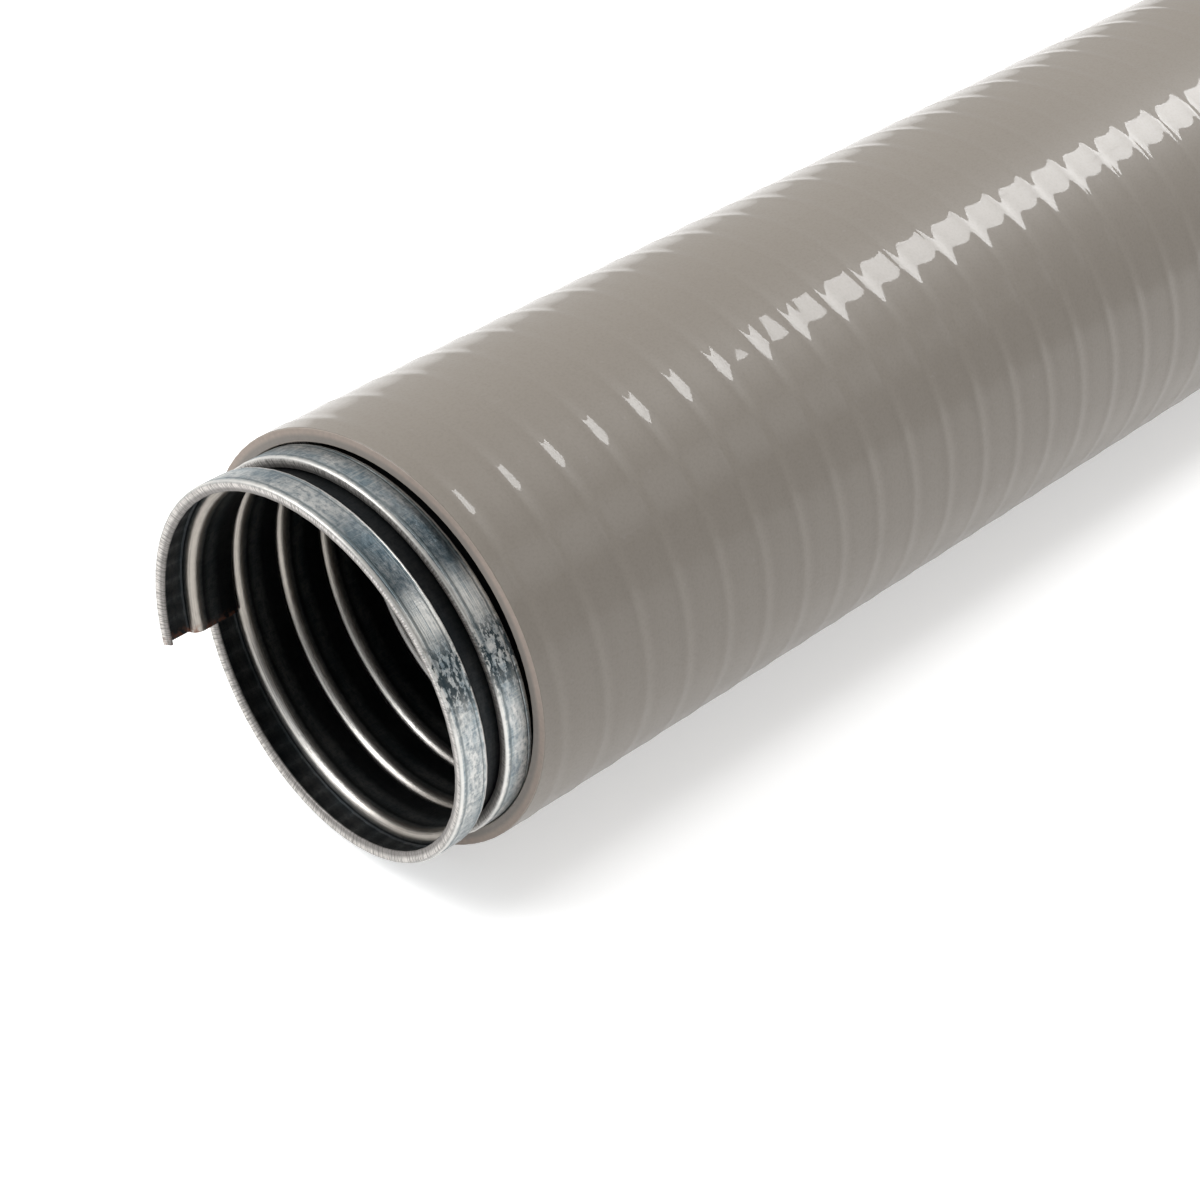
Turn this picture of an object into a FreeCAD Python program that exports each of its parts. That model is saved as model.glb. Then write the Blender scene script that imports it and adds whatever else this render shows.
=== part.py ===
import FreeCAD, Part
import math
import os

from FreeCAD import Vector

# Liquid-tight flexible metal conduit, 2 inch trade size, cut to one foot.
# A galvanized steel strip is rolled to an S section and wound into a
# right-hand helix whose turns hook into each other. A PVC jacket is extruded
# over it. The conduit lies along +X. The jacket's front cut crosses the axis at
# X = 0, and the strip's bare end stands in front of it, at negative X.
# Millimetres, +Z up.

# Jacket
JACKET_OD = 60.0
JACKET_WALL = 2.1
CONDUIT_LENGTH = 304.8  # along the axis, from the jacket's front cut to the rear cut
JACKET_CLEARANCE = 0.1  # radial, between the jacket's bore and the strip
FRONT_CUT_TURN = 4.1  # degrees about Z; the front cut ran askew, nearest the tip at +Y
FRONT_CUT_LEAN = 1.1  # degrees about Y; its top stands a little further back

# Steel strip, as rolled
STRIP_THICKNESS = 0.4
PITCH = 7.5  # axial advance of one turn
CREST_WIDTH = 4.7
LIP_WIDTH = 2.2  # the flat that stands furthest into the bore
SLOPE_RUN = 2.0  # axial, from the lip's rear edge to the trough
SLOPE_RISE = 0.15  # radial, over the same slope
FLANGE_LEAN = 0.5  # axial, how far the front flange's foot stands behind its corner
SECTION_DEPTH = 2.3  # radial, the crest's outer face to the lip's inner face
HOOK_CLEARANCE = 0.1  # between the walls of two turns that hook together

# The strip's bare end
TIP_LEAD = 14.1  # from its front corner to where the jacket's front cut meets the axis
TIP_ANGLE = -15.5  # degrees about +X, from the +Y side

# The turns that show are wound from strip: those at the front end, down to
# this depth in the jacket, and those at the rear end. Between them, out of
# sight, the core is finished as a plain sleeve that carries both.
FRONT_RUN_DEPTH = 22.0
REAR_RUN_LENGTH = 16.0
SLEEVE_COVER = 0.05  # radial, how far the sleeve stands past the strip's faces

SWEEP_TOLERANCE = 0.001  # how closely the sweep follows the true helix

X_AXIS = Vector(1, 0, 0)
jacket_bore_radius = JACKET_OD / 2 - JACKET_WALL
crest_radius = jacket_bore_radius - JACKET_CLEARANCE
lip_radius = crest_radius - SECTION_DEPTH


def ring(outer_radius, inner_radius, start, end):
    """A tube about the conduit's axis between two stations along it."""
    at = Vector(start, 0, 0)
    outside = Part.makeCylinder(outer_radius, end - start, at, X_AXIS)
    return outside.cut(Part.makeCylinder(inner_radius, end - start, at, X_AXIS))


def between(shape, start, end):
    """The shape with everything outside two saw cuts across the axis removed."""
    slab = Part.makeCylinder(JACKET_OD, end - start, Vector(start, 0, 0), X_AXIS)
    return shape.common(slab)


def strip_section():
    """Corners of the S section as (axial, radial), its front edge at axial 0.

    The next turn's front flange hangs into this turn's trough, and this
    turn's rear flange stands up under the next turn's crest.
    """
    t = STRIP_THICKNESS
    crest_under = crest_radius - t
    lip_top = lip_radius + t
    trough = lip_radius + SLOPE_RISE
    trough_top = trough + t
    front_flange_foot = trough_top + HOOK_CLEARANCE
    rear_flange_top = crest_under - HOOK_CLEARANCE
    web = CREST_WIDTH - t
    slope_start = web + LIP_WIDTH
    slope_end = slope_start + SLOPE_RUN
    rear = PITCH + web - HOOK_CLEARANCE
    return [
        (FLANGE_LEAN, front_flange_foot),
        (0, crest_radius),
        (CREST_WIDTH, crest_radius),
        (CREST_WIDTH, lip_top),
        (slope_start, lip_top),
        (slope_end, trough_top),
        (rear - t, trough_top),
        (rear - t, rear_flange_top),
        (rear, rear_flange_top),
        (rear, trough),
        (slope_end, trough),
        (slope_start, lip_radius),
        (web, lip_radius),
        (web, crest_under),
        (t, crest_under),
        (t + FLANGE_LEAN, front_flange_foot),
    ]


def section_width():
    return max(axial for axial, radial in strip_section())


def wind(turns):
    """The S section wound from the strip's tip, in place, for some turns."""
    corners = [Vector(radial, 0, axial) for axial, radial in strip_section()]
    outline = Part.makePolygon(corners + corners[:1])
    helix = Part.makeHelix(PITCH, PITCH * turns, crest_radius)
    helix.translate(Vector(0, 0, section_width() / 2))
    sweep = Part.BRepOffsetAPI.MakePipeShell(Part.Wire(helix.Edges))
    sweep.setFrenetMode(True)
    sweep.setTolerance(SWEEP_TOLERANCE, SWEEP_TOLERANCE, SWEEP_TOLERANCE)
    sweep.add(outline)
    sweep.build()
    sweep.makeSolid()
    strip = sweep.shape()
    # Wound about +Z from the +X side, then laid down along +X.
    strip.rotate(Vector(), Vector(1, 1, 1), 120)
    strip.rotate(Vector(), X_AXIS, TIP_ANGLE)
    strip.translate(Vector(-TIP_LEAD, 0, 0))
    return strip


def make_strip():
    """The strip's wound ends, joined by the plain sleeve between them."""
    sleeve_start = FRONT_RUN_DEPTH
    sleeve_end = CONDUIT_LENGTH - REAR_RUN_LENGTH
    front_turns = (TIP_LEAD + sleeve_start) / PITCH
    front_run = between(wind(front_turns), -2 * TIP_LEAD, sleeve_start)
    # The rear run is the same winding, whole turns further on.
    turns_before = math.floor((TIP_LEAD + sleeve_end - section_width()) / PITCH)
    rear_turns = (TIP_LEAD + CONDUIT_LENGTH) / PITCH - turns_before
    rear_run = wind(rear_turns)
    rear_run.translate(Vector(turns_before * PITCH, 0, 0))
    rear_run = between(rear_run, sleeve_end, CONDUIT_LENGTH)
    sleeve = ring(
        crest_radius + SLEEVE_COVER, lip_radius - SLEEVE_COVER, sleeve_start, sleeve_end
    )
    return sleeve.multiFuse([front_run, rear_run])


def make_jacket():
    """The extruded jacket, cut askew at the front end and square at the rear."""
    tube = ring(JACKET_OD / 2, jacket_bore_radius, -JACKET_OD, CONDUIT_LENGTH)
    turn = math.radians(FRONT_CUT_TURN)
    lean = math.radians(FRONT_CUT_LEAN)
    away = Vector(-1, -math.tan(turn), math.tan(lean))
    return tube.cut(Part.makeCylinder(2 * JACKET_OD, 2 * JACKET_OD, Vector(), away))


os.makedirs("parts", exist_ok=True)
make_jacket().exportStep("parts/jacket.step")
make_strip().exportStep("parts/steel_strip.step")
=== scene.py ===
# %% [markdown]
# # Liquid-tight flexible metal conduit, one foot of it
# This conduit is building stock with two parts: a galvanized steel strip, rolled to an S section and
# wound so that each turn hooks into the last, and a PVC jacket extruded over it. The CAD file already
# has both at their real size. Here each gets the shape and finish that the eye sees: the strip is
# wound along its whole length, and the jacket gets the ripple that the turns press into it.

# %% Load the CAD frame
import math

import bmesh
import bpy
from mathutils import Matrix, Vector


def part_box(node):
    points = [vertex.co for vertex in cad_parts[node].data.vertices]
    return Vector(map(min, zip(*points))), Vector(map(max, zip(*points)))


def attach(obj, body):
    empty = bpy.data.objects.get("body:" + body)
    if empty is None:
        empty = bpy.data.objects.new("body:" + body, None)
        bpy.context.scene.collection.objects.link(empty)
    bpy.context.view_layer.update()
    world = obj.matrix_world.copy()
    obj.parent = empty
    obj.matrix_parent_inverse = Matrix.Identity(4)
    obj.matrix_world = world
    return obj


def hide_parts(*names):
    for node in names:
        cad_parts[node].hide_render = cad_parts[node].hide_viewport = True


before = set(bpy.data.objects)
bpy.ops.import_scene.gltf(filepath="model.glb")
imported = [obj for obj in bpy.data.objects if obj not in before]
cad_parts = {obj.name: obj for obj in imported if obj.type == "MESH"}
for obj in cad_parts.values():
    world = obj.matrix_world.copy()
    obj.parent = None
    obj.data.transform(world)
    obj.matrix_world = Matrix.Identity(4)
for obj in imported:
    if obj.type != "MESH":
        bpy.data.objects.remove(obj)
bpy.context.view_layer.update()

MM = 0.001
SAME_PLACE = 1e-7  # metres; points closer than this are taken as one
jacket_low, jacket_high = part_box("jacket")
print("The jacket runs from", round(jacket_low.x / MM, 1), "to", round(jacket_high.x / MM, 1), "mm")

# %% [markdown]
# ## Selecting as by hand
# Every modelling step in Blender acts on what is selected, so a script needs two small helpers. The
# first leaves nothing selected in Object Mode. The second goes through the mesh in Edit Mode and
# selects the vertices, edges or faces whose middle passes a test, such as "lies at the front end".

# %% Helpers for selecting
def rest_hands():
    """Deselects every object, so that the next operator acts on the new piece alone."""
    bpy.ops.object.select_all(action="DESELECT")


def middle(part):
    corners = getattr(part, "verts", None)
    if corners is None:
        return part.co.copy()
    return sum((v.co for v in corners), Vector()) / len(corners)


def pick(kind, test):
    """Selects the VERT, EDGE or FACE parts whose middle passes the test, and nothing else."""
    bpy.ops.mesh.select_mode(type=kind)
    bpy.ops.mesh.select_all(action="DESELECT")
    mesh = bmesh.from_edit_mesh(bpy.context.edit_object.data)
    parts = {"VERT": mesh.verts, "EDGE": mesh.edges, "FACE": mesh.faces}[kind]
    found = [part for part in parts if test(middle(part))]
    for part in found:
        part.select_set(True)
    bmesh.update_edit_mesh(bpy.context.edit_object.data)
    return len(found)


def pick_nearest(kind, place):
    """Selects the one part whose middle is nearest to a place."""
    mesh = bmesh.from_edit_mesh(bpy.context.edit_object.data)
    parts = {"VERT": mesh.verts, "EDGE": mesh.edges, "FACE": mesh.faces}[kind]
    nearest = min((middle(part) - place).length for part in parts)
    return pick(kind, lambda m: (m - place).length < nearest + SAME_PLACE)


def put_where_it_is(piece, name):
    """Moves a primitive's place from the object into its mesh and names it."""
    bpy.ops.object.transform_apply(location=True, rotation=True, scale=True)
    piece.name = name
    piece.data.name = name


# %% [markdown]
# ## The strip's section
# A mill rolls the flat strip into a lying S: a front flange that points inwards, a broad crest, a web
# down to the lip that stands furthest into the bore, a gentle slope up to the trough, and a rear
# flange that points outwards. The front flange of each turn hangs in the trough of the turn before.
# Drawing points by hand would lose the constant sheet thickness, so the section starts as a square of
# that thickness, and its edges are pulled out one after the other, just as the strip is bent.

# %% Roll the section
THICKNESS = 0.4 * MM
PITCH = 7.5 * MM
CREST_RADIUS = 27.8 * MM
DEPTH = 2.3 * MM
CREST_WIDTH = 4.7 * MM
LIP_WIDTH = 2.2 * MM
SLOPE_RUN = 2.0 * MM
SLOPE_RISE = 0.15 * MM
FLANGE_LEAN = 0.5 * MM
HOOK_GAP = 0.1 * MM
TIP_LEAD = 14.1 * MM

lip_radius = CREST_RADIUS - DEPTH
flange_foot = lip_radius + SLOPE_RISE + THICKNESS + HOOK_GAP
rear_top = CREST_RADIUS - THICKNESS - HOOK_GAP
section_rear = PITCH + CREST_WIDTH - THICKNESS - HOOK_GAP


def pull(start, *moves):
    """Extrudes the edge at a place by each move in turn, and says where the last edge is."""
    place = Vector(start)
    for move in moves:
        pick_nearest("EDGE", place)
        bpy.ops.mesh.extrude_edges_move(TRANSFORM_OT_translate={"value": move})
        place += Vector(move)
    return place


rest_hands()
half = THICKNESS / 2
foot = Vector((half - TIP_LEAD, flange_foot, 0))
bpy.ops.mesh.primitive_plane_add(size=THICKNESS, location=foot + Vector((0, half, 0)))
strip = bpy.context.object
put_where_it_is(strip, "steel_strip_wound")
bpy.ops.object.mode_set(mode="EDIT")
crest_start = pull(
    foot + Vector((0, THICKNESS, 0)),
    (0, CREST_RADIUS - flange_foot - 2 * THICKNESS, 0),
    (0, THICKNESS, 0),
)
crest_end = pull(
    crest_start + Vector((half, -half, 0)),
    (CREST_WIDTH - 2 * THICKNESS, 0, 0),
    (THICKNESS, 0, 0),
)
web_end = pull(
    crest_end + Vector((-half, -half, 0)),
    (0, 2 * THICKNESS - DEPTH, 0),
    (0, -THICKNESS, 0),
)
trough_end = pull(
    web_end + Vector((half, half, 0)),
    (LIP_WIDTH - THICKNESS, 0, 0),
    (SLOPE_RUN, SLOPE_RISE, 0),
    (section_rear - CREST_WIDTH - LIP_WIDTH - SLOPE_RUN, 0, 0),
    (THICKNESS, 0, 0),
)
pull(
    trough_end + Vector((-half, half, 0)),
    (0, rear_top - lip_radius - SLOPE_RISE - THICKNESS, 0),
)
print("The flat section has", len(bmesh.from_edit_mesh(strip.data).faces), "bends and flats")

# %% [markdown]
# ## Round the bends
# Rolled sheet has no sharp bends: the outside of a bend is rounder than its inside, and the lip is the
# roundest of all, because the rolls draw it out most. That matters for the looks, since a round bend
# always has one line that mirrors the light. The quads are dissolved into one outline, and a vertex
# bevel rounds each corner by its own radius. The front flange leans, so its foot is slid back first.

# %% Round the bends
BENDS = [
    # radius in mm, segments, the corners as (axial, radial) from the front edge and the axis
    (0.12, 1, [(FLANGE_LEAN, flange_foot), (FLANGE_LEAN + THICKNESS, flange_foot)]),
    (0.60, 4, [(0, CREST_RADIUS)]),
    (0.25, 1, [(THICKNESS, CREST_RADIUS - THICKNESS)]),
    (0.50, 3, [(CREST_WIDTH, CREST_RADIUS)]),
    (0.20, 1, [(CREST_WIDTH - THICKNESS, CREST_RADIUS - THICKNESS)]),
    (1.30, 5, [(CREST_WIDTH - THICKNESS, lip_radius)]),
    (0.90, 2, [(CREST_WIDTH, lip_radius + THICKNESS)]),
    (0.70, 2, [(CREST_WIDTH - THICKNESS + LIP_WIDTH, lip_radius)]),
    (0.50, 2, [(section_rear, lip_radius + SLOPE_RISE)]),
]

IN_LINE = math.radians(2)  # points that turn the outline by less are not corners

bpy.ops.mesh.select_all(action="SELECT")
bpy.ops.mesh.dissolve_faces()
bpy.ops.mesh.dissolve_limited(angle_limit=IN_LINE)
pick_nearest("EDGE", foot)
bpy.ops.transform.translate(value=(FLANGE_LEAN, 0, 0))
for radius, segments, corners in BENDS:
    for axial, radial in corners:
        pick_nearest("VERT", Vector((axial - TIP_LEAD, radial, 0)))
        bpy.ops.mesh.bevel(
            offset_type="OFFSET", offset=radius * MM, segments=segments, affect="VERTICES"
        )
bpy.ops.mesh.select_all(action="SELECT")
bpy.ops.mesh.delete(type="ONLY_FACE")
outline_points = len(bmesh.from_edit_mesh(strip.data).verts)
print("The section's outline has", outline_points, "points")

# %% [markdown]
# ## Wind the strip
# The winding machine turns the section about the conduit's axis and lets it move on by one pitch a
# turn. The Screw modifier does the same. The outline is first turned to where the strip's tip stands
# in the photograph, 15 degrees below the side. It is wound past the rear end, and a straight cut
# across the axis then ends it, as a saw does. Each point remembers how many turns it has made, so that
# the zinc's rolling marks can follow the strip later.

# %% Wind the strip
STEPS = 60  # facets in one turn
TIP_ANGLE = math.radians(-15.5)  # about the axis, from the side at +Y
SMOOTH_UNDER = math.radians(32)  # a bend sharper than this stays a crisp edge
CUT_AT = jacket_high.x

bpy.ops.object.mode_set(mode="OBJECT")
turns = math.ceil((CUT_AT + TIP_LEAD + section_rear) / PITCH)


def wind(piece, steps, count):
    """Winds the piece's outline about the X axis for a number of turns."""
    screw = piece.modifiers.new("wind", "SCREW")
    screw.axis = "X"
    screw.angle = math.tau
    screw.steps = steps
    screw.render_steps = steps
    screw.iterations = count
    screw.screw_offset = PITCH
    screw.use_merge_vertices = False
    screw.use_smooth_shade = True
    bpy.ops.object.modifier_apply(modifier="wind")


wind(strip, STEPS, turns)
turn = strip.data.attributes.new("turn", "FLOAT", "POINT")
rows = len(strip.data.vertices) // outline_points
for row in range(rows):
    for i in range(row * outline_points, (row + 1) * outline_points):
        turn.data[i].value = row / STEPS
print("The strip makes", turns, "turns before it is cut")

bpy.ops.object.mode_set(mode="EDIT")
bpy.ops.mesh.select_all(action="SELECT")
bpy.ops.transform.rotate(value=-TIP_ANGLE, orient_axis="X", center_override=(0, 0, 0))

# %% [markdown]
# ## Close its two ends
# The modifier leaves an open tube of metal. At the tip its rim is one flat outline, which a single
# face closes. At the rear the saw cut runs through one and a half turns at once, so the bisect tool
# both cuts and fills.

# %% Close the ends
ON_PLANE = 0.002 * MM

mesh = bmesh.from_edit_mesh(strip.data)
tip_vertex = min(mesh.verts, key=lambda v: v.co.x)
print("The tip is at", [round(c / MM, 2) for c in tip_vertex.co], "mm")


def on_rim(edge_middle, angle, far):
    """True for a point in the half plane that stands at an angle about the axis, up to an x."""
    across = edge_middle.z * math.cos(angle) - edge_middle.y * math.sin(angle)
    along = edge_middle.y * math.cos(angle) + edge_middle.z * math.sin(angle)
    return abs(across) < ON_PLANE and along > 0 and edge_middle.x < far


bpy.ops.mesh.select_mode(type="EDGE")
bpy.ops.mesh.select_all(action="DESELECT")
rim = [
    e for e in mesh.edges
    if e.is_boundary and on_rim(middle(e), TIP_ANGLE, section_rear)
]
for edge in rim:
    edge.select_set(True)
bmesh.update_edit_mesh(strip.data)
bpy.ops.mesh.edge_face_add()
print("The tip's rim has", len(rim), "edges")

bpy.ops.mesh.select_all(action="SELECT")
bpy.ops.mesh.bisect(
    plane_co=(CUT_AT, 0, 0), plane_no=(1, 0, 0), use_fill=True, clear_outer=True, threshold=SAME_PLACE
)
bpy.ops.mesh.select_all(action="SELECT")
bpy.ops.mesh.normals_make_consistent(inside=False)
bpy.ops.object.mode_set(mode="OBJECT")
bpy.ops.object.shade_smooth_by_angle(angle=SMOOTH_UNDER)
print("The wound strip has", sum(len(p.vertices) - 2 for p in strip.data.polygons), "triangles")

# %% [markdown]
# ## The jacket's ripple
# The PVC is drawn down onto the turns while it is soft, so its outside follows them: over each crest
# it is nearly flat, then it swells into a low bead, drops behind it, and rises again. The whole wave is
# an eighth of a millimetre deep, but under gloss it decides where every highlight falls. One pitch of
# that wave, drawn as a line and wound by the same Screw modifier, gives the outside in one piece. A
# bump texture would shade alike, but it would leave the outline straight.

# %% Draw one pitch of the ripple
JACKET_RADIUS = 30.0 * MM
BORE_RADIUS = 27.9 * MM  # 0.1 mm clear of the strip's crests
RIPPLE = [
    # where along the pitch, and how far below the jacket's full radius, in mm
    (1.20, 0.000), (1.44, 0.010), (1.72, 0.034), (1.99, 0.063), (2.28, 0.091), (2.65, 0.116),
    (3.06, 0.127), (3.54, 0.119), (4.04, 0.105), (4.55, 0.094), (5.17, 0.087), (5.86, 0.083),
    (6.52, 0.079), (7.09, 0.072), (7.50, 0.062), (7.86, 0.045), (8.17, 0.023), (8.47, 0.005),
]
RIPPLE_STEPS = 80
START_PITCH = -2  # the wave is wound from this many pitches before the front end

rest_hands()
first_along, first_below = RIPPLE[0]
bpy.ops.mesh.primitive_plane_add(
    size=MM,
    location=(first_along * MM + START_PITCH * PITCH, JACKET_RADIUS - first_below * MM, 0),
)
jacket = bpy.context.object
put_where_it_is(jacket, "jacket_rippled")
bpy.ops.object.mode_set(mode="EDIT")
bpy.ops.mesh.merge(type="CENTER")
pick("VERT", lambda m: True)
wave = RIPPLE + [(first_along + PITCH / MM, first_below)]
for (along, below), (next_along, next_below) in zip(wave, wave[1:]):
    step = ((next_along - along) * MM, (below - next_below) * MM, 0)
    bpy.ops.mesh.extrude_vertices_move(TRANSFORM_OT_translate={"value": step})
print("The ripple's line has", len(bmesh.from_edit_mesh(jacket.data).verts), "points")

# %% [markdown]
# ## Wind the jacket and cut it
# Where two turns of the wave meet, their points lie on each other, so they are merged by distance. A
# plain open cylinder is added as the bore. The knife ran a little askew at the front end, and square
# at the rear: one bisect at each end cuts both walls. From each open rim a fine chamfer is extruded,
# where the knife broke the edge, and bridging the two rims gives the flat cut face between them.

# %% Wind and cut the jacket
EDGE_BREAK = 0.12 * MM
BORE_STEPS = 96
JACKET_SMOOTH_UNDER = math.radians(30)
SPARE_PITCHES = 2  # wound past the rear end, and cut off there
MERGE_WITHIN = 0.01 * MM
RIM_WITHIN = 0.02 * MM
FRONT_TURN = math.radians(4.1)
FRONT_LEAN = math.radians(1.1)
FRONT_WAY = Vector((-1, -math.tan(FRONT_TURN), math.tan(FRONT_LEAN))).normalized()

bpy.ops.object.mode_set(mode="OBJECT")
pitches = math.ceil(CUT_AT / PITCH) - START_PITCH + SPARE_PITCHES
wind(jacket, RIPPLE_STEPS, pitches)
bpy.ops.object.mode_set(mode="EDIT")
bpy.ops.mesh.select_all(action="SELECT")
bpy.ops.mesh.remove_doubles(threshold=MERGE_WITHIN)
bpy.ops.mesh.primitive_cylinder_add(
    vertices=BORE_STEPS,
    radius=BORE_RADIUS,
    depth=2 * CUT_AT,
    end_fill_type="NOTHING",
    location=(CUT_AT / 2, 0, 0),
    rotation=(0, math.radians(90), 0),
)


def pick_rim(place, way, nearest, furthest):
    """Selects the open rim in a plane that lies between two distances from the axis."""
    bpy.ops.mesh.select_mode(type="EDGE")
    bpy.ops.mesh.select_all(action="DESELECT")
    mesh = bmesh.from_edit_mesh(bpy.context.edit_object.data)
    rim = []
    for edge in [e for e in mesh.edges if e.is_boundary]:
        m = middle(edge)
        in_plane = abs((m - place).dot(way)) < RIM_WITHIN
        if in_plane and nearest < math.hypot(m.y, m.z) < furthest:
            edge.select_set(True)
            rim.append(edge)
    bmesh.update_edit_mesh(bpy.context.edit_object.data)
    return len(rim)


between_walls = (BORE_RADIUS + JACKET_RADIUS) / 2
for end, way in ((Vector(), FRONT_WAY), (Vector((CUT_AT, 0, 0)), Vector((1, 0, 0)))):
    inward = end - way * EDGE_BREAK
    bpy.ops.mesh.select_all(action="SELECT")
    bpy.ops.mesh.bisect(plane_co=inward, plane_no=way, clear_outer=True, threshold=SAME_PLACE)
    for nearest, furthest, swell in (
        (0, between_walls, 1 + EDGE_BREAK / BORE_RADIUS),
        (between_walls, 2 * JACKET_RADIUS, 1 - EDGE_BREAK / JACKET_RADIUS),
    ):
        pick_rim(inward, way, nearest, furthest)
        bpy.ops.mesh.extrude_edges_move(TRANSFORM_OT_translate={"value": way * EDGE_BREAK})
        bpy.ops.transform.resize(value=(swell, swell, swell), center_override=end)
    print("The two rims at this end have", pick_rim(end, way, 0, 2 * JACKET_RADIUS), "edges")
    bpy.ops.mesh.bridge_edge_loops()

bpy.ops.mesh.select_all(action="SELECT")
bpy.ops.mesh.normals_make_consistent(inside=False)
bpy.ops.object.mode_set(mode="OBJECT")
bpy.ops.object.shade_smooth_by_angle(angle=JACKET_SMOOTH_UNDER)
print("The jacket has", sum(len(p.vertices) - 2 for p in jacket.data.polygons), "triangles")

# %% [markdown]
# ## Writing shader maths in Python
# A material is a graph of nodes. Wired by hand, a formula such as 1 - a * b takes three boxes and no
# reader sees the formula. Here a small class wraps one output of a node, and Python's own operators add
# the Math nodes, so the formula can be read. Every other node comes from one method, which takes the
# node's type, its settings, and the values or links of its sockets.

# %% Helpers for materials
class Number:
    """One number that varies over a surface."""

    def __init__(self, finish, socket):
        self.finish = finish
        self.socket = socket

    def maths(self, operation, first, second=0.0, clamp=False):
        settings = {"operation": operation, "use_clamp": clamp}
        return self.finish.node("ShaderNodeMath", settings, {0: first, 1: second}).number(0)

    def __add__(self, other):
        return self.maths("ADD", self, other)

    def __sub__(self, other):
        return self.maths("SUBTRACT", self, other)

    def __rsub__(self, other):
        return self.maths("SUBTRACT", other, self)

    def __mul__(self, other):
        return self.maths("MULTIPLY", self, other)

    def __gt__(self, other):
        return self.maths("GREATER_THAN", self, other)

    def __lt__(self, other):
        return self.maths("LESS_THAN", self, other)

    __radd__ = __add__
    __rmul__ = __mul__

    def clear_of(self, start, end):
        """0 at start or before it, 1 at end or after it, and even in between."""
        return self.maths("MULTIPLY", self - start, 1 / (end - start), clamp=True)


class Made:
    """A node that has been made, with its outputs at hand."""

    def __init__(self, finish, node):
        self.finish = finish
        self.node = node

    def link(self, name):
        return self.node.outputs[name]

    def number(self, name):
        return Number(self.finish, self.node.outputs[name])


class Finish:
    """The nodes of a material or a world. Constant values are set on the shader's own sockets."""

    def __init__(self, owner, shader, constants=None):
        owner.use_nodes = True
        self.owner = owner
        self.tree = owner.node_tree
        self.shader = self.tree.nodes[shader]
        for socket, value in (constants or {}).items():
            self.shader.inputs[socket].default_value = value

    @classmethod
    def material(cls, name, constants=None):
        return cls(bpy.data.materials.new(name), "Principled BSDF", constants)

    def node(self, kind, settings=None, sockets=None):
        node = self.tree.nodes.new(kind)
        for name, value in (settings or {}).items():
            setattr(node, name, value)
        for name, value in (sockets or {}).items():
            self.feed(node.inputs[name], value)
        return Made(self, node)

    def feed(self, socket, value):
        if isinstance(value, Number):
            value = value.socket
        if isinstance(value, bpy.types.NodeSocket):
            self.tree.links.new(value, socket)
        else:
            socket.default_value = value

    def stretched(self, vector, factors):
        made = self.node("ShaderNodeVectorMath", {"operation": "MULTIPLY"}, {0: vector, 1: factors})
        return made.link("Vector")

    def length(self, vector):
        return self.node("ShaderNodeVectorMath", {"operation": "LENGTH"}, {0: vector}).number("Value")

    def noise(self, vector, scale, detail=2.0, roughness=0.5):
        sockets = {"Vector": vector, "Scale": scale, "Detail": detail, "Roughness": roughness}
        return self.node("ShaderNodeTexNoise", {}, sockets).number("Fac")

    def blend(self, first, second, share):
        """A colour that goes from the first to the second as the share goes from 0 to 1."""
        made = self.node("ShaderNodeMix", {"data_type": "RGBA"}, {"Factor": share, 6: first, 7: second})
        return made.link(2)

    def bump(self, height, distance):
        sockets = {"Height": height, "Distance": distance, "Strength": 1.0}
        return self.node("ShaderNodeBump", {}, sockets).link("Normal")

    def wear(self, piece):
        piece.data.materials.clear()
        piece.data.materials.append(self.owner)


# %% [markdown]
# ## Warm grey PVC
# The jacket is soft PVC, coloured right through, with a shine from the die. Gloss over a coloured body
# is what the Coat layer is for: the body stays a little rough and the coat mirrors the lamps sharply.
# Real extrusion is never even, so the colour drifts slowly along it, a fine grain breaks the gloss, and
# a few rubbed streaks dull it. Fine rings, left where the soft jacket was drawn over the turns, break
# up each highlight. The knife leaves the cut face matt, and paler at its outer edge.

# %% The jacket's finish
pvc = Finish.material(
    "jacket_pvc",
    {
        "IOR": 1.45,
        "Specular IOR Level": 0.35,
        "Coat Roughness": 0.035,
        "Coat IOR": 1.35,
    },
)
place = pvc.node("ShaderNodeTexCoord").link("Object")
axes = pvc.node("ShaderNodeSeparateXYZ", {}, {0: place})
along = axes.number("X")
radius = pvc.length(pvc.stretched(place, (0, 1, 1)))

drift = pvc.noise(place, 22.0, 3.0)
grain = pvc.noise(place, 2600.0, 3.0, 0.6)
rubbed = pvc.noise(pvc.stretched(place, (70, 900, 900)), 1.0, 4.0, 0.65).clear_of(0.62, 0.76)
dust = pvc.noise(place, 900.0, 2.0).clear_of(0.70, 0.76)

FACE_DEPTH = 0.04 * MM  # how far behind its plane a cut face still counts as cut
turned_back = axes.number("Y") * math.tan(FRONT_TURN)
leaned_back = axes.number("Z") * math.tan(FRONT_LEAN)
from_cut = along + turned_back - leaned_back
cut_face = (from_cut < FACE_DEPTH) + (along > CUT_AT - FACE_DEPTH)
face_ring = radius.clear_of(0.0287, 0.0292)
knife_lines = pvc.noise(pvc.stretched(place, (0, 1, 1)), 1600.0, 2.0)
drawn_lines = pvc.noise(pvc.stretched(place, (3800, 30, 30)), 1.0, 2.0)

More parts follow.
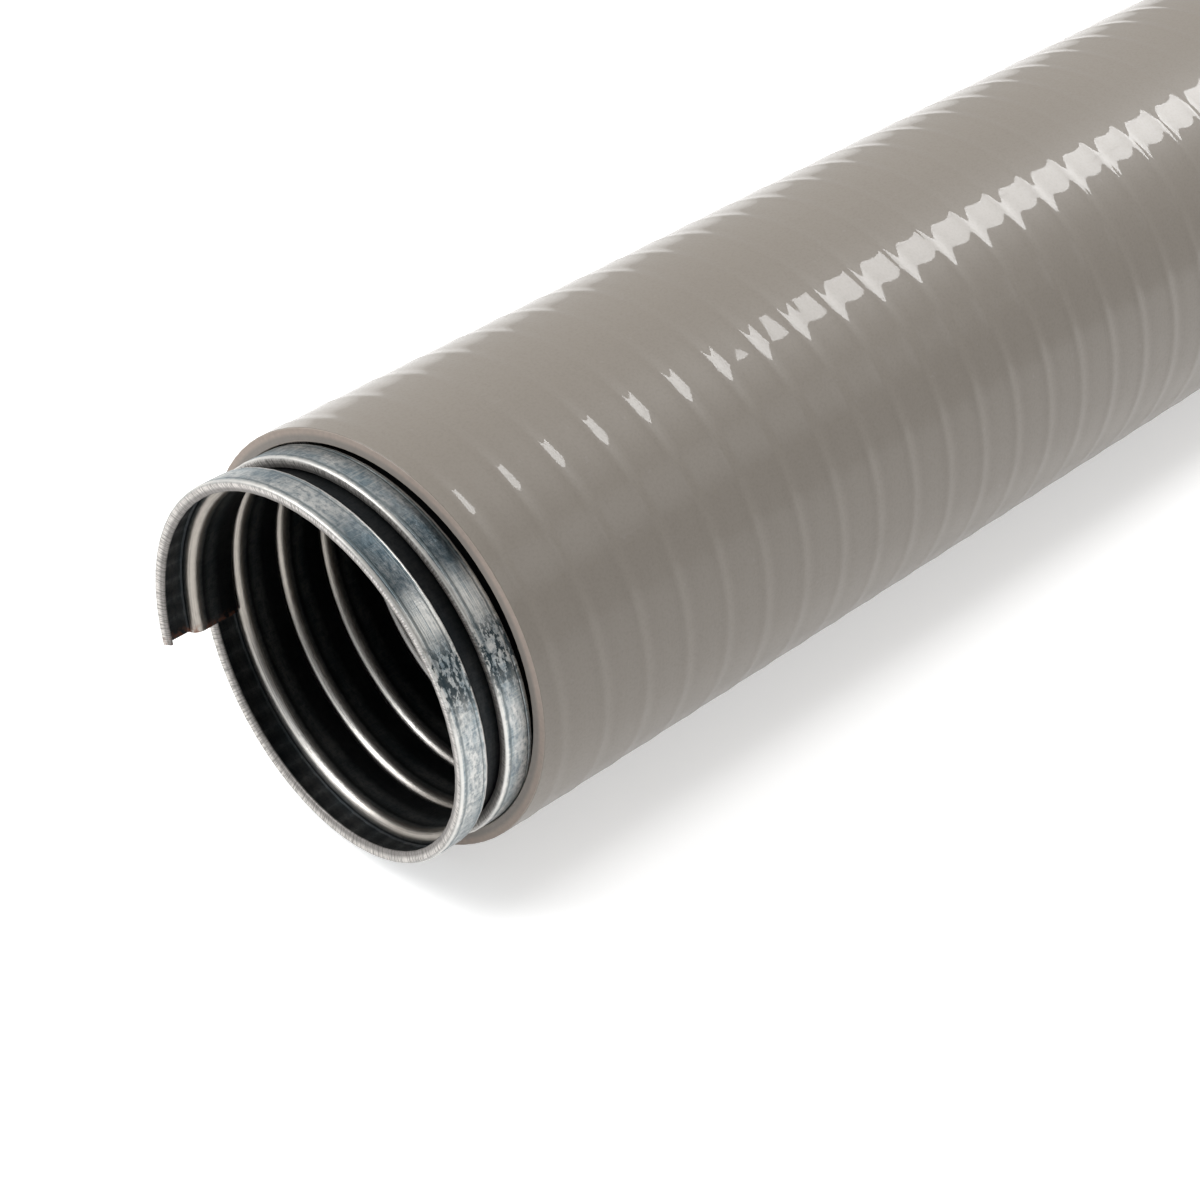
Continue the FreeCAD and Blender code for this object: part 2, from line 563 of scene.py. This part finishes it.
body = pvc.blend((0.280, 0.248, 0.211, 1), (0.310, 0.278, 0.241, 1), drift)
body = pvc.blend(body, (0.35, 0.32, 0.29, 1), rubbed * 0.25 + dust * 0.3)
body = pvc.blend(body, (0.24, 0.21, 0.18, 1), grain.clear_of(0.45, 0.7) * 0.35)
face = pvc.blend((0.37, 0.335, 0.305, 1), (0.56, 0.465, 0.405, 1), face_ring)
face = pvc.blend(face, (0.22, 0.20, 0.18, 1), knife_lines * 0.4)
pvc.feed(pvc.shader.inputs["Base Color"], pvc.blend(body, face, cut_face))
RELIEF_DEPTH = 0.008 * MM
shine = 0.42 + 0.12 * grain + 0.10 * rubbed
pvc.feed(pvc.shader.inputs["Roughness"], shine + 0.2 * cut_face)
pvc.feed(pvc.shader.inputs["Coat Weight"], (1 - cut_face) * (0.55 - 0.3 * rubbed))
relief = grain + drawn_lines + knife_lines * cut_face
pvc.feed(pvc.shader.inputs["Normal"], pvc.bump(relief, RELIEF_DEPTH))
pvc.wear(jacket)
print("The jacket's finish has", len(pvc.tree.nodes), "nodes")

# %% [markdown]
# ## Galvanized strip
# The strip is steel with a thin coat of zinc, rolled bright and then bent. On the crest the zinc has
# bluish clouds, fine lines that follow the strip, cross marks from the rolls, and a thin line beside
# each bend, and the outer edge of each bend is painted bright as a highlight. High on the right the
# crest has a dark band of painted shade, below that a painted highlight, and then flakes are missing.
# Inside, the lip's bend is a painted highlight, bright low in the bore and dim higher up, while the
# slopes and troughs behind it are painted black as shade, and the foot of each flange in its trough
# is painted darker as shade. Where the shears cut the tip, bare steel starts to rust. The marks have
# to follow the winding, so the pattern is laid out in the strip's own directions: along it by the turn
# that each point remembers, and across it by the place along the axis less the pitch. Every place
# across the strip and every radius below is in metres, from its front edge and from the axis, and a
# place around the conduit is a share of one turn, from the tip.

# %% The strip's finish
steel = Finish.material("galvanized_steel")
place = steel.node("ShaderNodeTexCoord").link("Object")
axes = steel.node("ShaderNodeSeparateXYZ", {}, {0: place})
radius = steel.length(steel.stretched(place, (0, 1, 1)))
turned = steel.node("ShaderNodeAttribute", {"attribute_name": "turn"}).number("Fac")
across = axes.number("X") - turned * PITCH + TIP_LEAD
along = turned * (math.tau * CREST_RADIUS)
laid_out = steel.node("ShaderNodeCombineXYZ", {}, {0: across, 1: along, 2: radius}).link("Vector")

clouds = steel.noise(steel.stretched(laid_out, (420, 150, 420)), 1.0, 5.0, 0.65)
mottle = steel.noise(steel.stretched(laid_out, (1900, 1100, 1900)), 1.0, 4.0, 0.7)
roll_lines = steel.noise(steel.stretched(laid_out, (7000, 50, 7000)), 1.0, 3.0, 0.7)
cross_marks = steel.noise(steel.stretched(laid_out, (300, 3600, 300)), 1.0, 3.0, 0.7)
specks = steel.noise(steel.stretched(laid_out, (1500, 650, 1500)), 1.0, 5.0, 0.7)

# The lip's round bend: where its centre lies in the section, and the radius that its inside keeps to
BEND_CENTRE_ACROSS = 5.6 * MM
BEND_CENTRE_RADIUS = 26.8 * MM
BEND_INSIDE = 1.1 * MM

rear_bend = across.clear_of(0.00445, 0.0046) * radius.clear_of(0.0266, 0.0275) * (across < 0.0060)
outside = (radius.clear_of(0.02735, 0.02765) + 0.7 * rear_bend).clear_of(0, 1)
flange = (1 - across.clear_of(0.0006, 0.0010)) * (1 - outside)
ahead = across - BEND_CENTRE_ACROSS
inward = BEND_CENTRE_RADIUS - radius
past_bend = ahead * ahead + inward * inward > BEND_INSIDE * BEND_INSIDE
bend = past_bend * (across < BEND_CENTRE_ACROSS) * (1 - radius.clear_of(0.0264, 0.0270))
inner_face = (bend + (radius < 0.02575)).clear_of(0, 1)
nose = inner_face * across.clear_of(0.0039, 0.0042) * (1 - across.clear_of(0.0055, 0.0064))
slope = inner_face * across.clear_of(0.0065, 0.0073) * (1 - across.clear_of(0.0079, 0.0091))
# Painted shade: behind the lip, the slopes, troughs and the crests' undersides are painted near black,
# a little less so on the slope.
bore_painted_shade = (1 - outside) * (1 - flange) * (1 - nose) * (1 - 0.22 * slope)

around = turned.maths("FRACT", turned)
# Painted shade: a dark band on the crest, high on the right.
crest_painted_shade = around.clear_of(0.31, 0.37) * (1 - around.clear_of(0.395, 0.420)) * outside
# Painted highlight: a bright patch on the crest, below the dark band.
crest_painted_highlight = around.clear_of(0.400, 0.424) * (1 - around.clear_of(0.432, 0.456)) * outside
flaking = around.clear_of(0.435, 0.455) * (1 - around.clear_of(0.480, 0.51)) * outside
flaked = specks.clear_of(0.48, 0.53) * flaking
# Painted highlight and shade: the lips are painted bright low in the bore and dim higher up.
low_lip_painted_highlight = around.clear_of(0.74, 0.86) * (1 - around.clear_of(0.92, 0.99))
front_line = across.clear_of(0.0008, 0.0009) * (1 - across.clear_of(0.0011, 0.0013))
rear_line = across.clear_of(0.0037, 0.0038) * (1 - across.clear_of(0.0039, 0.0040))
rim_line = (front_line + rear_line) * outside
# Painted highlight along the outer edge of each crest bend.
edge_painted_highlight = (1 - across.clear_of(0.0005, 0.0007) + across.clear_of(0.0042, 0.0043)) * outside
rust = steel.noise(place, 1400.0, 3.0).clear_of(0.45, 0.6) * (1 - turned.clear_of(0.0008, 0.008))

zinc = steel.blend((0.27, 0.33, 0.36, 1), (0.64, 0.64, 0.62, 1), clouds.clear_of(0.38, 0.62))
zinc = steel.blend(zinc, (0.10, 0.14, 0.17, 1), mottle.clear_of(0.44, 0.62) * 0.6)
zinc = steel.blend(zinc, (0.78, 0.77, 0.73, 1), cross_marks.clear_of(0.52, 0.62) * 0.30)
# Painted shade on the crest.
zinc = steel.blend(zinc, (0.030, 0.046, 0.056, 1), crest_painted_shade * (0.62 + 0.5 * mottle))
# Painted highlight on the crest.
zinc = steel.blend(zinc, (0.92, 0.90, 0.85, 1), crest_painted_highlight * roll_lines.clear_of(0.35, 0.6) * 0.9)
zinc = steel.blend(zinc, (0.16, 0.19, 0.20, 1), rim_line * 0.7)
# Painted highlight on the crest's edges.
zinc = steel.blend(zinc, (0.80, 0.78, 0.74, 1), edge_painted_highlight * 0.75)
zinc = steel.blend(zinc, (0.78, 0.74, 0.70, 1), flange * 0.9)
zinc = steel.blend(zinc, (0.16, 0.15, 0.14, 1), flange * cross_marks.clear_of(0.48, 0.56) * 0.7)
# Painted shade at the foot of each flange, down in the trough of the turn before.
zinc = steel.blend(zinc, (0.10, 0.09, 0.085, 1), flange * (1 - radius.clear_of(0.0266, 0.0270)) * 0.7)
# The lip's bend takes the painted highlight, dim above and bright below.
lip_painted_light = steel.blend((0.44, 0.40, 0.355, 1), (0.97, 0.94, 0.90, 1), low_lip_painted_highlight)
zinc = steel.blend(zinc, lip_painted_light, nose * 0.92)
zinc = steel.blend(zinc, (0.20, 0.19, 0.18, 1), nose * roll_lines.clear_of(0.50, 0.62) * 0.6)
# Painted shade in the bore's hollows.
zinc = steel.blend(zinc, (0.016, 0.018, 0.020, 1), bore_painted_shade * 0.96)
zinc = steel.blend(zinc, (0.03, 0.05, 0.06, 1), flaked * 0.9)
zinc = steel.blend(zinc, (0.30, 0.13, 0.08, 1), rust * 0.7)
steel.feed(steel.shader.inputs["Base Color"], zinc)
MARK_DEPTH = 0.04 * MM
rough = 0.26 + 0.16 * clouds + 0.14 * mottle + 0.10 * roll_lines + 0.25 * flaked - 0.12 * nose
steel.feed(steel.shader.inputs["Roughness"], rough + 0.3 * rust)
steel.feed(steel.shader.inputs["Metallic"], 1 - 0.5 * flange)
marks = 0.5 * roll_lines + 0.8 * cross_marks + 0.5 * mottle - rim_line
steel.feed(steel.shader.inputs["Normal"], steel.bump(marks, MARK_DEPTH))
steel.wear(strip)
print("The strip's finish has", len(steel.tree.nodes), "nodes")

# %% [markdown]
# ## Put the pieces in place of the CAD solids
# Each piece stands for its CAD solid, which is hidden, and rides on the one body. Its finish is the
# one put on it above.

# %% Place the pieces on the frame
for piece, node, slot in (
    (strip, "steel_strip", "galvanized_steel"),
    (jacket, "jacket", "jacket_pvc"),
):
    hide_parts(node)
    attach(piece, "root")

# %% [markdown]
# ## The table it lies on
# The photograph has a white table with one soft shadow. A lamp strong enough to burn the table out to
# white would burn the conduit too. Instead the table is lit plainly, and its material adds a little
# light of its own for the rays that come from the camera or from a shiny surface. The shadow stays.

# %% The table
TABLE_SIZE = 8  # metres
OWN_LIGHT = 0.50

rest_hands()
bpy.ops.mesh.primitive_plane_add(size=TABLE_SIZE, location=(0, 0, -JACKET_RADIUS))
table = bpy.context.object
put_where_it_is(table, "table")
white = Finish.material("table_white", {"Roughness": 0.9, "Specular IOR Level": 0.0})
seen = white.node("ShaderNodeLightPath")
mirrored = seen.number("Is Glossy Ray") + seen.number("Is Transmission Ray")
shown = seen.number("Is Camera Ray") + mirrored
white.shader.inputs["Base Color"].default_value = (0.95, 0.95, 0.95, 1)
white.shader.inputs["Emission Color"].default_value = (1, 1, 1, 1)
white.feed(white.shader.inputs["Emission Strength"], shown.clear_of(0, 1) * OWN_LIGHT)
white.wear(table)
print("The table's top is at", round(-JACKET_RADIUS / MM, 1), "mm")

# %% [markdown]
# ## Light
# A long soft box stands behind the conduit, high over its far end: it makes the row of highlights that
# jumps from bead to bead. Its place follows from the photograph, because the way from the camera to a
# highlight and on to the lamp makes equal angles with the jacket. A second one on the left casts the
# shadow and lights the lips in the bore. The rest is the studio: bright on the left, beyond the far
# end and low on the right, with a small white card on the right that the steel's crests mirror, and
# dark elsewhere.

# %% The lamps and the studio
def soft_box(name, place, aim, width, height, power):
    rest_hands()
    bpy.ops.object.light_add(type="AREA", location=place)
    lamp = bpy.context.object
    lamp.name = name
    lamp.data.shape = "RECTANGLE"
    lamp.data.size = width
    lamp.data.size_y = height
    lamp.data.energy = power
    way = Vector(aim) - Vector(place)
    lamp.rotation_euler = way.to_track_quat("-Z", "Y").to_euler()


soft_box("soft_box_behind", (0.75, -0.075, 0.60), (0.15, 0, 0), 0.20, 0.36, 3.6)
soft_box("soft_box_left", (-0.75, 0.62, 1.15), (0.05, 0, 0), 0.80, 0.80, 10.0)

bpy.context.scene.world = bpy.data.worlds.new("studio")
studio = Finish(bpy.context.scene.world, "Background")
way = studio.node("ShaderNodeTexCoord").link("Generated")
parts = studio.node("ShaderNodeSeparateXYZ", {}, {0: way})
way_x = parts.number("X")
way_y = parts.number("Y")
way_z = parts.number("Z")

DIM = 0.03  # the strength from every side
left = (way_y * 0.70 - way_x * 0.35 + way_z * 0.40).clear_of(-0.25, 0.75)
beyond = (way_x * 0.8 - way_y * 0.4).clear_of(0.3, 1.0)
card = (way_x * 0.53 - way_y * 0.65 + way_z * 0.52).clear_of(0.965, 0.985)
low_right = (0 - way_y).clear_of(0.55, 1.0) * (1 - way_z.clear_of(0.08, 0.40))
light = DIM + 0.78 * left + 0.34 * beyond + 1.6 * card + 0.6 * low_right
seen = studio.node("ShaderNodeLightPath").number("Is Camera Ray")
studio.feed(studio.shader.inputs["Color"], (1, 1, 1, 1))
studio.feed(studio.shader.inputs["Strength"], light * (1 - seen) + seen)
print("The lamps are set")

# %% [markdown]
# ## Camera
# The camera stands where the ellipse of the jacket's front rim and the two long outlines put it: a
# long lens, 45 degrees off the conduit's axis and 36 degrees above the table.

# %% The camera
AZIMUTH = math.radians(45.17)
DOWN = math.radians(36.33)
CAMERA_PLACE = (-181.68 * MM, -224.46 * MM, 217.88 * MM)

rest_hands()
bpy.ops.object.camera_add(location=CAMERA_PLACE)
camera = bpy.context.object
camera.name = "camera"
looking = Vector(
    (math.cos(DOWN) * math.cos(AZIMUTH), math.cos(DOWN) * math.sin(AZIMUTH), -math.sin(DOWN))
)
camera.rotation_euler = looking.to_track_quat("-Z", "Y").to_euler()
camera.data.sensor_width = 36.0
camera.data.lens = 84.0
camera.data.clip_start = 0.01
camera.data.clip_end = 20.0
bpy.context.scene.camera = camera
bpy.context.scene.view_settings.view_transform = "Standard"
print("The camera is", round(camera.location.length / MM), "mm from the jacket's front end")
